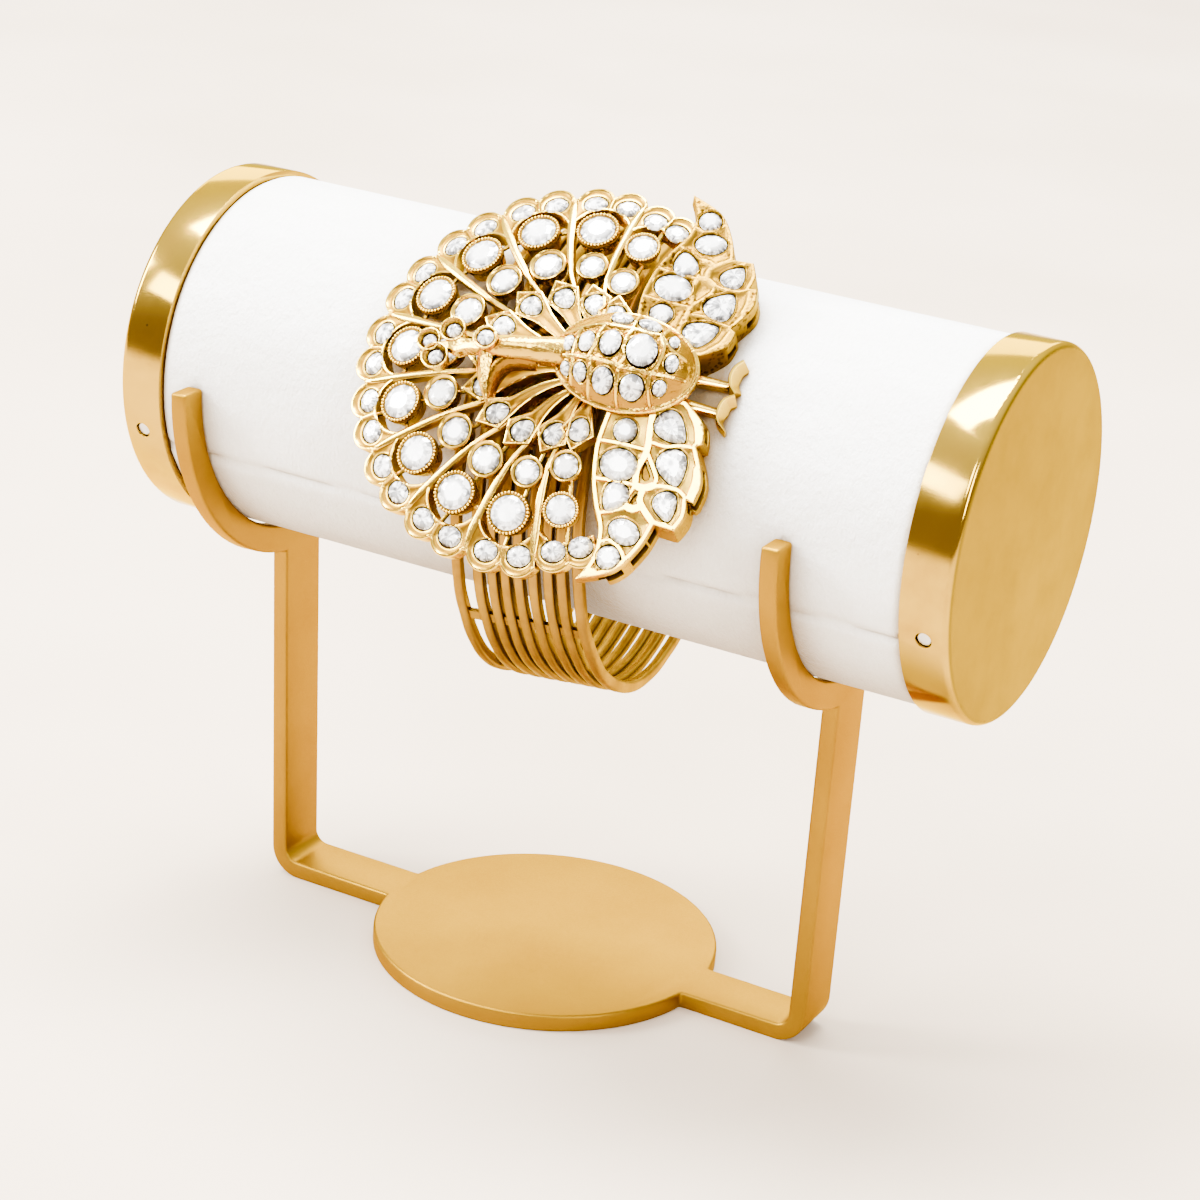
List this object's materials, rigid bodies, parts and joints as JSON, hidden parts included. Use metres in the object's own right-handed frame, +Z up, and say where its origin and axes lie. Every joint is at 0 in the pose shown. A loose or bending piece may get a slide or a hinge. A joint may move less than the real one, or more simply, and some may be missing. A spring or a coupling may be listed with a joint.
{
  "type": "kundan cuff bracelet on a velvet roll display stand",
  "caption": "Peacock cuff bracelet of soldered rings and a pierced plaque set with foil-backed crystals, resting on a velvet roll in a bent strip stand.",
  "frame": {"origin": "middle of the round foot's underside, on the table", "axes": "+X along the roll to the right as seen from the front, +Y away from the front, +Z up"},
  "size_m": [0.1238, 0.0745, 0.1155],
  "materials": {
    "stand_gold": "satin gold coat",
    "cap_brass": "polished",
    "screw_steel": "bright",
    "velvet": "short white nap",
    "jewel_gold": "antique gold plate with dark recesses",
    "crystal": "cut, with a silver foil behind"
  },
  "bodies": {
    "root": {"stand": "stand_gold", "roll": "velvet", "cap_left": "cap_brass", "cap_right": "cap_brass", "cap_screw_left": "screw_steel", "cap_screw_right": "screw_steel", "cuff_band": "jewel_gold", "tail_fan": "jewel_gold", "wing_upper": "jewel_gold", "wing_lower": "jewel_gold", "bird": "jewel_gold", "feet": "jewel_gold", "eye_stone_1": "crystal", "eye_stone_2": "crystal", "eye_stone_3": "crystal", "eye_stone_4": "crystal", "eye_stone_5": "crystal", "eye_stone_6": "crystal", "eye_stone_7": "crystal", "eye_stone_8": "crystal", "eye_stone_9": "crystal", "eye_stone_10": "crystal", "eye_stone_11": "crystal", "wing_stone_upper_1": "crystal", "wing_stone_upper_2": "crystal", "wing_stone_upper_3": "crystal", "wing_stone_upper_4": "crystal", "wing_stone_upper_5": "crystal", "wing_stone_upper_6": "crystal", "wing_stone_upper_7": "crystal", "wing_stone_upper_8": "crystal", "wing_stone_lower_1": "crystal", "wing_stone_lower_2": "crystal", "wing_stone_lower_3": "crystal", "wing_stone_lower_4": "crystal", "wing_stone_lower_5": "crystal", "wing_stone_lower_6": "crystal", "wing_stone_lower_7": "crystal", "wing_stone_lower_8": "crystal", "body_stone_1": "crystal", "body_stone_2": "crystal", "body_stone_3": "crystal", "body_stone_4": "crystal", "body_stone_5": "crystal", "body_stone_6": "crystal", "body_stone_7": "crystal", "body_stone_8": "crystal", "body_stone_9": "crystal", "body_stone_10": "crystal", "body_stone_11": "crystal", "body_stone_12": "crystal", "body_stone_13": "crystal", "disc_stones": "crystal", "petal_stones": "crystal", "rim_stones": "crystal", "crest_stones": "crystal"}
  },
  "joints": []
}
